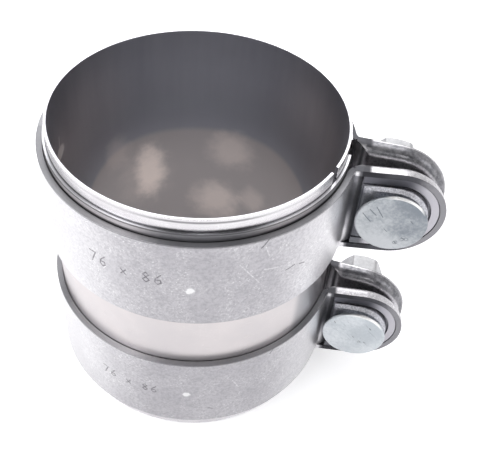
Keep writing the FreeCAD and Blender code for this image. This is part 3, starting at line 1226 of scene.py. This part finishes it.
@dataclass(frozen=True)
class PressedInsert:
    """Thick cup pressed into an ear: grey and mottled, with painted light and shade on its rim and painted
    shade in its groove.

    Levels are depths in the ear's dish, in millimetres.
    """

    node: str
    at: ClampPlace
    rim_level: float = 4.0
    groove_level: float = 3.2
    mottle_mm: float = 0.5
    mottle_hexes: tuple[str, str] = ("#a6a6ad", "#dadae0")
    rim_hexes: tuple[str, str] = ("#c0bec4", "#6a6a71")
    shade_angles: Flat = (48.0, 80.0)
    inner_out: Flat = (45.5, 48.0)
    inner_above: Flat = (6.5, 8.5)
    groove_hex: str = "#4a4a4f"
    inner_hex: str = "#65686e"
    roughness: float = 0.36

    def build(self) -> None:
        """Dresses the insert."""
        dress(self.node, self._material())

    def _material(self) -> bpy.types.Material:
        """Pressed steel with a fine mottle of small pits, and painted shade in its groove.

        Returns:
            The finished material.
        """
        material, graph = new_material("pressed_steel_" + self.node)
        place = graph.place()
        point = self.at.point(graph, place)
        mottle = graph.noise(place, self.mottle_mm, 4.0, 0.7)
        colour = graph.tones(graph.ramp(mottle, 0.36, 0.66), *self.mottle_hexes)

        # Rim with painted light at its outer side and painted shade round its upper side
        top = graph.ramp_mm(point.depth, self.rim_level - 0.25, self.rim_level - 0.1)
        top = graph.times(top, graph.fall_mm(point.depth, self.rim_level + 0.1, self.rim_level + 0.3))
        round_angle = graph.math("ARCTAN2", point.above, point.beyond)
        pale = graph.tones(graph.ramp_deg(round_angle, *self.shade_angles), *self.rim_hexes)
        colour = graph.mix(top, colour, pale)

        # Painted shade in the groove, and painted shade towards the ring
        low = graph.fall_mm(point.depth, self.groove_level, self.rim_level - 0.3)
        colour = graph.tint(colour, graph.times(low, 0.75), self.groove_hex)
        inner = graph.ramp_mm(point.out, *self.inner_out, 0.75, 0.0)
        inner = graph.times(inner, graph.fall_mm(point.above, *self.inner_above))
        colour = graph.tint(colour, inner, self.inner_hex)
        rough = graph.plus(self.roughness, graph.times(mottle, 0.16))
        rough = graph.plus(rough, graph.times(inner, 0.4))
        graph.finish(colour, rough, graph.relief(mottle, 0.35, 0.05, 0.2))
        return material


@dataclass(frozen=True)
class ZincPlate:
    """Zinc plated and blue passivated steel: cool pale grey, half matte, with small dents and scuffs.

    The plating's crystals give a fine even mottle, and knocks leave short slanting scratches, dark on one
    side and pale on the other.
    """

    name: str
    at: ClampPlace
    strokes: tuple[Stroke, ...] = ()
    light_hex: str = "#c3c6c9"
    dark_hex: str = "#858b92"
    speck_hex: str = "#5d636a"
    line_hex: str = "#8b939b"
    slant_share: float = 0.016
    dents: tuple[tuple[Flat, float], ...] = ()
    head_radius: float = 9.3
    roughness: float = 0.30
    mottle_mm: float = 0.9
    cloud_mm: float = 9.0
    chips: Mottle = Mottle(0.65, 3.0, 0.6, 0.70, 0.76)
    lines: Mottle = Mottle(0.4, 2.0, 0.5, 0.62, 0.72)
    bright_start: Flat = (28.0, 50.0)
    bright_end: Flat = (90.0, 115.0)
    line_stretch: Point = (0.12, 1.0, 1.0)
    line_turn: float = 0.8

    def material(self) -> bpy.types.Material:
        """Builds the material.

        Returns:
            The finished material.
        """
        material, graph = new_material(self.name)
        place = graph.place()
        point = self.at.point(graph, place)
        cloud = graph.noise(place, self.cloud_mm, 2.0)
        fine = graph.noise(place, self.mottle_mm, 5.0, 0.65)
        level = graph.plus(graph.times(cloud, 0.6), graph.times(fine, 0.4))
        # Painted shade, darker towards the outer upper side of the head
        slant = graph.plus(point.beyond, point.above)
        level = graph.minus(level, graph.times(slant, self.slant_share / MM))
        colour = graph.tones(graph.ramp(level, 0.30, 0.70), self.dark_hex, self.light_hex)

        # Dark specks where the plating is chipped
        colour = graph.tint(colour, graph.times(self.chips.mask(graph, place), 0.7), self.speck_hex)

        # Short diagonal scratches all over, few and shallow
        flat = graph.joined(point.out, point.up, point.across)
        turned = graph.add("ShaderNodeMapping", None, {
            "Vector": flat,
            "Rotation": (0.0, 0.0, self.line_turn),
        })
        pulled = graph.vector("MULTIPLY", turned.outputs[0], self.line_stretch)
        lines = self.lines.mask(graph, pulled)
        colour = graph.tint(colour, graph.times(lines, 0.4), self.line_hex)
        height = graph.minus(graph.times(fine, 0.6), graph.times(lines, 0.5))
        if self.strokes:
            face = graph.joined(point.out, point.up, 0.0)
            # Painted highlight along the head's rounded edge
            colour = graph.tint(colour, self._bright_edge(graph, point), WHITE)
            marks = any_of(graph, face, self.strokes)
            for centre, radius in self.dents:
                ring = graph.times(self._ring(graph, face, centre, radius), graph.ramp(fine, 0.3, 0.6))
                marks = graph.most(marks, graph.times(ring, 0.8))
            colour = graph.tint(colour, graph.times(marks, 0.75), self.speck_hex)
            height = graph.minus(height, graph.times(marks, 1.6))
        rough = graph.plus(self.roughness, graph.times(fine, 0.14))
        graph.finish(colour, rough, graph.relief(height, 0.35, 0.06))
        return material

    def _bright_edge(self, graph: Graph, point: EarPoint) -> Socket:
        """Painted highlight on the head's rounded edge, from its outer side round to its top.

        Args:
            graph: the material's graph.
            point: the shaded point as the clamp sees it.

        Returns:
            The part's share, 0 to 1.
        """
        away = graph.measure("LENGTH", graph.joined(point.beyond, point.above, 0.0))
        turn = graph.math("ARCTAN2", point.above, point.beyond)
        rim = graph.ramp_mm(away, self.head_radius - 0.5, self.head_radius - 0.34)
        arc = graph.times(
            graph.ramp_deg(turn, *self.bright_start), graph.fall_deg(turn, *self.bright_end))
        return graph.times(rim, arc)

    def _ring(self, graph: Graph, face: Socket, centre: Flat, radius: float) -> Socket:
        """A small round dent's outline, drawn as the points at its radius from its middle.

        Args:
            graph: the material's graph.
            face: the point on the head's face, in metres.
            centre: the dent's middle, in millimetres.
            radius: its radius, in millimetres.

        Returns:
            The outline's share, 0 to 1.
        """
        gap = graph.vector("SUBTRACT", face, (centre[0] * MM, centre[1] * MM, 0.0))
        off = graph.size(graph.minus(graph.measure("LENGTH", gap), radius * MM))
        return graph.fall_mm(off, 0.08, 0.22)


@dataclass(frozen=True)
class Shell:
    """A closed surface as whole arrays: its points, its four-sided faces and its three-sided ones."""

    points: np.ndarray
    quads: np.ndarray
    triangles: np.ndarray = field(default_factory=lambda: np.zeros((0, 3), int))

    def outward(self) -> "Shell":
        """The same surface with its faces turned outward.

        Returns:
            A shell whose signed volume, the sum of each triangle's product of corners, is above zero.
        """
        split = np.vstack([self.quads[:, [0, 1, 2]], self.quads[:, [0, 2, 3]], self.triangles])
        a, b, c = (self.points[split[:, i]] for i in range(3))
        volume = float(np.sum(np.cross(a, b) * c)) / 6
        if volume > 0:
            return self
        return Shell(self.points, self.quads[:, ::-1], self.triangles[:, ::-1])


def band_faces(rows: int, columns: int, close_rows: bool) -> np.ndarray:
    """Faces of a grid of rows and columns whose columns close into a ring.

    Args:
        rows: the number of rows.
        columns: the number of columns.
        close_rows: True where the last row joins the first.

    Returns:
        One row of four point numbers a face.
    """
    first = np.arange(rows if close_rows else rows - 1)[:, None]
    column = np.arange(columns)[None, :]
    after = (column + 1) % columns
    below = (first + 1) % rows
    corners = [
        first * columns + column,
        first * columns + after,
        below * columns + after,
        below * columns + column,
    ]
    return np.stack([np.broadcast_to(c, (first.size, columns)) for c in corners], -1).reshape(-1, 4)


def capped(radius: np.ndarray, along: np.ndarray, columns: int) -> Shell:
    """Turns a run of rings into a closed surface about the third axis, with a point at either end.

    Each ring's points are at its radius times the cosine and sine of the column's turn. The two end points
    are on the axis at the first and last ring's height, so that a flat end is a fan of triangles.

    Args:
        radius: the rings' radii, one a ring or one a ring and column.
        along: the rings' heights, in the same shape.
        columns: points a ring.

    Returns:
        The closed shell.
    """
    turn = np.arange(columns) * 2 * np.pi / columns
    wide = np.broadcast_to(radius if radius.ndim == 2 else radius[:, None], (len(radius), columns))
    high = np.broadcast_to(along if along.ndim == 2 else along[:, None], wide.shape)
    grid = np.stack([wide * np.cos(turn), wide * np.sin(turn), high], -1).reshape(-1, 3)
    ends = np.array([[0, 0, high[0].mean()], [0, 0, high[-1].mean()]])
    points = np.vstack([grid, ends])
    column = np.arange(columns)
    after = (column + 1) % columns
    last = (len(radius) - 1) * columns
    start_fan = np.stack([np.full(columns, len(grid)), after, column], -1)
    end_fan = np.stack([np.full(columns, len(grid) + 1), last + column, last + after], -1)
    return Shell(points, band_faces(len(radius), columns, False), np.vstack([start_fan, end_fan]))


@dataclass(frozen=True)
class Thread:
    """Metric screw thread about the bolt's axis."""

    major_radius: float = 3.95
    pitch: float = 1.25
    crest_share: float = 0.125
    root_share: float = 0.25
    depth_share: float = 0.61
    hand: Hand = Hand.RIGHT

    def radius(self, turn: np.ndarray, along: np.ndarray) -> np.ndarray:
        """Radius of the thread's surface at a turn about the axis and a place along it.

        The phase is the place along, in pitches, less the turn in full turns, so the crest climbs one pitch
        a turn. The profile is flat at crest and root, and straight between them.

        Args:
            turn: angle about the axis, in radians.
            along: place along the axis, in millimetres.

        Returns:
            The radius, in millimetres.
        """
        phase = along / self.pitch - self.hand.value * turn / (2 * np.pi)
        from_crest = np.abs(np.mod(phase, 1.0) - 0.5) * 2
        flank = 1 - self.crest_share - self.root_share
        fall = np.clip((from_crest - self.crest_share) / flank, 0, 1)
        return self.major_radius - self.depth_share * self.pitch * fall


@dataclass(frozen=True)
class Axis:
    """Line of one bolt: its nut's joint in the frame."""

    joint: str

    def points(self, local: np.ndarray) -> np.ndarray:
        """Moves points from the bolt's own axes to the frame.

        Args:
            local: points as up, outward and along the axis, in millimetres, from the joint's place.

        Returns:
            The same points in the frame, in metres.
        """
        row = next(j for j in frame["joints"] if j["name"] == self.joint)
        along = np.asarray(row["axis"], float)
        along /= np.linalg.norm(along)
        up = np.array([0.0, 0.0, 1.0])
        outward = np.cross(along, up)
        return np.asarray(row["pos_m"], float) + MM * (local @ np.stack([up, outward, along]))


def put_in(body: str, shells: Sequence[Shell], axis: Axis, material: bpy.types.Material) -> None:
    """Makes one piece from closed shells and has it stand for the CAD node of its body.

    Args:
        body: the CAD body that it rides on, whose node has the same name.
        shells: its closed surfaces, in the bolt's own axes and in millimetres.
        axis: the line of its bolt.
        material: its finish.
    """
    name = body + "_threaded"
    points, faces, start = [], [], 0
    for shell in (s.outward() for s in shells):
        points.append(axis.points(shell.points))
        faces += (shell.quads + start).tolist() + (shell.triangles + start).tolist()
        start += len(shell.points)
    mesh = bpy.data.meshes.new(name)
    mesh.from_pydata(np.vstack(points).tolist(), [], faces)
    mesh.polygons.foreach_set("use_smooth", np.ones(len(faces), bool))
    mesh.set_sharp_from_angle(angle=math.radians(SHARP_FROM_DEG))
    mesh.materials.append(material)
    mesh.validate()
    piece = add_object(name, mesh)
    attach(piece, body)
    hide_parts(body)
    LOG.info("%s has %d faces", name, len(faces))


@dataclass(frozen=True)
class CupBolt:
    """M8 x 25 bolt with a low round head, a square neck and a rolled thread."""

    body: str
    axis: Axis
    seat: float
    head_radius: float = 9.3
    seat_radius: float = 7.5
    underside: float = 1.8
    rim_top: float = 2.12
    rounding: float = 0.5
    head_height: float = 3.0
    neck_side: float = 8.0
    neck_length: float = 2.0
    length: float = 25.0
    end_chamfer: float = 0.7
    tip_inset: float = 0.05
    run_in: float = 0.3
    blank_drop: float = 0.35
    neck_overlap: float = 0.5
    neck_corner_share: float = 0.96
    head_middle: float = 0.4
    dome_rings: int = 14
    rim_rings: int = 9
    head_columns: int = 96
    columns: int = 64
    rows_a_pitch: int = 12
    thread: Thread = Thread()

    def build(self, material: bpy.types.Material) -> None:
        """Makes the bolt from its head, its neck and its threaded shank."""
        put_in(self.body, [self._head(), self._neck(), self._shank()], self.axis, material)

    def _head(self) -> Shell:
        """Head turned from a profile.

        From the middle of its front, the profile is a shallow arc of a circle out to the rounded rim, a
        short straight rim, and a taper in to the seat.

        Returns:
            The head's closed shell.
        """
        inner = self.head_radius - self.rounding
        crown = self.rim_top + self.rounding
        rise = self.head_height - crown
        ball = (inner ** 2 + rise ** 2) / (2 * rise)
        dome_r = np.linspace(self.head_middle, inner, self.dome_rings)
        dome_s = self.head_height - ball + np.sqrt(ball ** 2 - dome_r ** 2)
        turn = np.linspace(math.pi / 2, 0, self.rim_rings)[1:]
        round_r = inner + self.rounding * np.cos(turn)
        round_s = self.rim_top + self.rounding * np.sin(turn)
        under_r = [self.head_radius, self.seat_radius, self.seat_radius / 2]
        radius = np.concatenate([dome_r, round_r, under_r])
        along = np.concatenate([dome_s, round_s, [self.underside, 0.0, 0.0]])
        return capped(radius, -self.seat - along, self.head_columns)

    def _neck(self) -> Shell:
        """Square neck, with short bevels at its corners.

        The distance from the axis to a side is half the width over the larger of the turn's cosine and sine.

        Returns:
            The neck's closed shell.
        """
        turn = np.arange(self.columns) * 2 * np.pi / self.columns
        half = self.neck_side / 2
        square = half / np.maximum(np.abs(np.cos(turn)), np.abs(np.sin(turn)))
        square = np.minimum(square, half * math.sqrt(2) * self.neck_corner_share)
        ends = np.array([-self.seat - self.neck_overlap, -self.seat + self.neck_length])
        grid = (2, self.columns)
        return capped(np.broadcast_to(square, grid), np.broadcast_to(ends[:, None], grid), self.columns)

    def _shank(self) -> Shell:
        """Threaded shank: the thread's radius at each point of the grid, cut back by a cone at the tip.

        Next to the neck the thread runs out, so the groove's depth grows from nothing over one pitch.

        Returns:
            The shank's closed shell.
        """
        top = -self.seat + self.neck_length - self.run_in
        tip = -self.seat + self.length
        rows = int((tip - top) / self.thread.pitch * self.rows_a_pitch)
        along = np.linspace(top, tip, rows)[:, None]
        turn = (np.arange(self.columns) * 2 * np.pi / self.columns)[None, :]
        radius = self.thread.radius(turn, along)
        full = self.thread.major_radius
        run_out = np.clip((along - top - self.run_in) / self.thread.pitch, 0, 1)
        radius = full - self.blank_drop * (1 - run_out) - (full - radius) * run_out
        radius = np.minimum(radius, full - self.end_chamfer + (tip - along) - self.tip_inset)
        return capped(radius, np.broadcast_to(along, radius.shape), self.columns)


@dataclass(frozen=True)
class FlangeNut:
    """Tall M8 hexagon nut with a flange, chamfered at its outer end and threaded through."""

    body: str
    axis: Axis
    seat: float
    across_flats: float = 13.0
    height: float = 10.6
    turn_deg: float = 6.0
    flange_radius: float = 8.3
    flange_edge: float = 1.2
    flange_slope: float = 1.2
    slope_top_radius: float = 7.055
    chamfer_deg: float = 30.0
    flat_share: float = 0.98
    clearance: float = 0.05
    edge_break: float = 0.15
    side_gap: float = 1e-4
    columns: int = 96
    rows_a_pitch: int = 10
    thread: Thread = Thread()

    def build(self, material: bpy.types.Material) -> None:
        """Makes the nut as one closed surface."""
        put_in(self.body, [self._whole()], self.axis, material)

    def _whole(self) -> Shell:
        """Outside and bore as one grid that closes both ways.

        At each turn about the axis, the hexagon's radius is half its width over the cosine of the angle from
        the middle of its nearest side. The rows follow where the flange's slope and the end's chamfer meet
        the sides, so that both curves are drawn by the grid's own lines. One corner sits a little past
        outward, turning down, as in the CAD source, and the others every 60 degrees.

        Returns:
            The nut's closed shell.
        """
        turn = np.arange(self.columns) * 2 * np.pi / self.columns
        corner = math.radians(90.0 + self.turn_deg)
        from_side = np.mod(turn - corner, math.pi / 3) - math.pi / 6
        side = self.across_flats / 2 / np.cos(from_side)
        level = np.ones_like(turn)

        # Flange: flat seat, upright edge, and a slope up to the sides
        edge = self.flange_edge
        fall = (self.flange_radius - self.slope_top_radius) / self.flange_slope
        meet = np.maximum(side, self.slope_top_radius)
        meet_height = edge + (self.flange_radius - meet) / fall

        # Sides up to the chamfer, then the chamfer and the flat end
        flat = self.across_flats / 2 * self.flat_share
        chamfer = self.height - (side - flat) * math.tan(math.radians(self.chamfer_deg))
        mouth = self.thread.major_radius + self.clearance
        small = self.edge_break
        widened = mouth + small
        outside = [
            (widened * level, 0 * level),
            (self.flange_radius * level - small, 0 * level),
            (self.flange_radius * level, 0 * level + small),
            (self.flange_radius * level, edge * level),
            (meet, meet_height),
            (side, meet_height + self.side_gap),
            (side, (meet_height + chamfer) / 2),
            (side, chamfer),
            (flat * level, self.height * level),
            (widened * level, self.height * level),
        ]
        radius = np.stack([r for r, _ in outside])
        along = np.stack([s for _, s in outside])

        # Bore, from the outer end back to the seat
        rows = int((self.height - 2 * small) / self.thread.pitch * self.rows_a_pitch)
        down = np.linspace(self.height - small, small, rows)[:, None]
        bore = self.thread.radius(turn[None, :], down + self.seat) + self.clearance
        sink = np.maximum(mouth - down, mouth - (self.height - down))
        bore = np.maximum(bore, sink)
        radius = np.vstack([radius, bore])
        along = np.vstack([along, np.broadcast_to(down, bore.shape)]) + self.seat
        points = np.stack([radius * np.cos(turn), radius * np.sin(turn), along], -1).reshape(-1, 3)
        return Shell(points, band_faces(len(radius), self.columns, True))


@dataclass(frozen=True)
class Clamp:
    """One clamp: its band, the two inserts in its ears, its bolt and its nut."""

    name: str
    at: ClampPlace
    stamp: Stamp
    weld_spot: Flat
    pale_marks: tuple[tuple[Flat, Flat], ...]
    dark_marks: tuple[tuple[Flat, Flat], ...]
    head_marks: tuple[Stroke, ...]
    head_dents: tuple[tuple[Flat, float], ...] = ()
    head_slant: float = 0.016
    head_hexes: tuple[str, str] = ("#c3c6c9", "#858b92")
    nut_hexes: tuple[str, str] = ("#cfcfd1", "#adadb0")
    seat_depth: float = 5.4
    nut_seat_gap: float = 0.02

    def build(self) -> None:
        """Builds all of its pieces."""
        PressedBand(
            self.name + "_band", self.at, self.stamp, self.weld_spot, self.pale_marks, self.dark_marks,
        ).build()
        for side in ("front", "rear"):
            PressedInsert(f"{self.name}_{side}_insert", self.at).build()
        seat = self.at.gap / 2 + self.seat_depth
        axis = Axis(self.name + "_nut_turn")
        head = ZincPlate(
            f"blue_passivated_zinc_{self.name}_bolt", self.at, self.head_marks, *self.head_hexes,
            slant_share=self.head_slant, dents=self.head_dents,
        )
        CupBolt(self.name + "_bolt", axis, seat).build(head.material())
        plate = ZincPlate(
            f"blue_passivated_zinc_{self.name}_nut", self.at, (), *self.nut_hexes, slant_share=0.0,
        )
        FlangeNut(self.name + "_nut", axis, seat + self.nut_seat_gap).build(plate.material())


def dress(node: str, material: bpy.types.Material) -> None:
    """Gives a node of the frame its finish.

    Args:
        node: the node's name.
        material: the finish for all of its faces.
    """
    for slot in frame["nodes"][node].material_slots:
        slot.material = material
    LOG.info("dressed %s in %s", node, material.name)


UPPER = Clamp(
    name="upper",
    at=ClampPlace(angle=-10.4, bolt_distance=52.4, gap=3.6, height=66.15),
    stamp=Stamp("76 x 86", angle=-128.0, bottom=66.0),
    weld_spot=(-92.0, 64.9),
    pale_marks=(
        ((-74.0, 71.7), (-73.0, 74.9)),
        ((-67.9, 77.7), (-65.9, 73.4)),
        ((-68.2, 69.5), (-60.6, 68.4)),
        ((-76.2, 73.1), (-67.5, 63.9)),
        ((-168.3, 77.6), (-168.0, 79.8)),
    ),
    dark_marks=(
        ((-68.3, 78.2), (-66.7, 79.9)),
        ((-68.3, 78.2), (-69.3, 77.4)),
        ((-58.6, 66.1), (-55.0, 66.6)),
        ((-52.8, 65.9), (-50.4, 65.3)),
    ),
    head_marks=(
        Stroke((44.7, 68.9), (47.0, 66.5), 0.10),
        Stroke((46.2, 70.6), (48.1, 68.9), 0.10),
        Stroke((47.8, 71.7), (49.9, 68.6), 0.10),
        Stroke((50.9, 64.7), (51.8, 63.9), 0.08),
        Stroke((54.3, 60.6), (54.9, 59.9), 0.16),
        Stroke((55.9, 62.3), (56.8, 61.9), 0.14),
        Stroke((57.0, 68.6), (57.6, 68.0), 0.09),
    ),
    head_dents=(((54.6, 60.2), 0.55), ((57.2, 61.9), 0.5), ((56.1, 61.6), 0.45)),
)

LOWER = Clamp(
    name="lower",
    at=ClampPlace(angle=-12.6, bolt_distance=50.9, gap=3.0, height=19.85),
    stamp=Stamp("76 x 86", angle=-128.0, bottom=18.5, letter_height=3.0),
    weld_spot=(-92.8, 19.7),
    pale_marks=(
        ((-51.6, 20.5), (-51.0, 16.0)),
        ((-169.1, 31.4), (-168.8, 33.5)),
        ((-75.0, 25.0), (-72.5, 21.0)),
    ),
    dark_marks=(
        ((-60.0, 32.0), (-58.8, 33.4)),
        ((-84.0, 12.5), (-82.2, 12.0)),
    ),
    head_marks=(
        Stroke((55.0, 24.7), (55.4, 24.2), 0.14),
        Stroke((54.4, 17.9), (54.8, 17.6), 0.12),
        Stroke((50.8, 19.8), (51.1, 19.4), 0.10),
        Stroke((44.5, 25.0), (44.9, 24.3), 0.10),
    ),
    head_dents=(((53.0, 17.6), 0.4),),
    head_slant=0.006,
    # Painted light: the lower head's zinc is given lighter tones than the upper head's
    head_hexes=("#e4e8eb", "#bec4c9"),
)


def main() -> None:
    """Builds the scene piece by piece."""
    logging.basicConfig(level=logging.INFO, format="%(name)s: %(message)s")
    PhotoCamera().build()
    Studio().build()
    Sleeves().build()
    UPPER.build()
    LOWER.build()


if __name__ == "__main__":
    main()
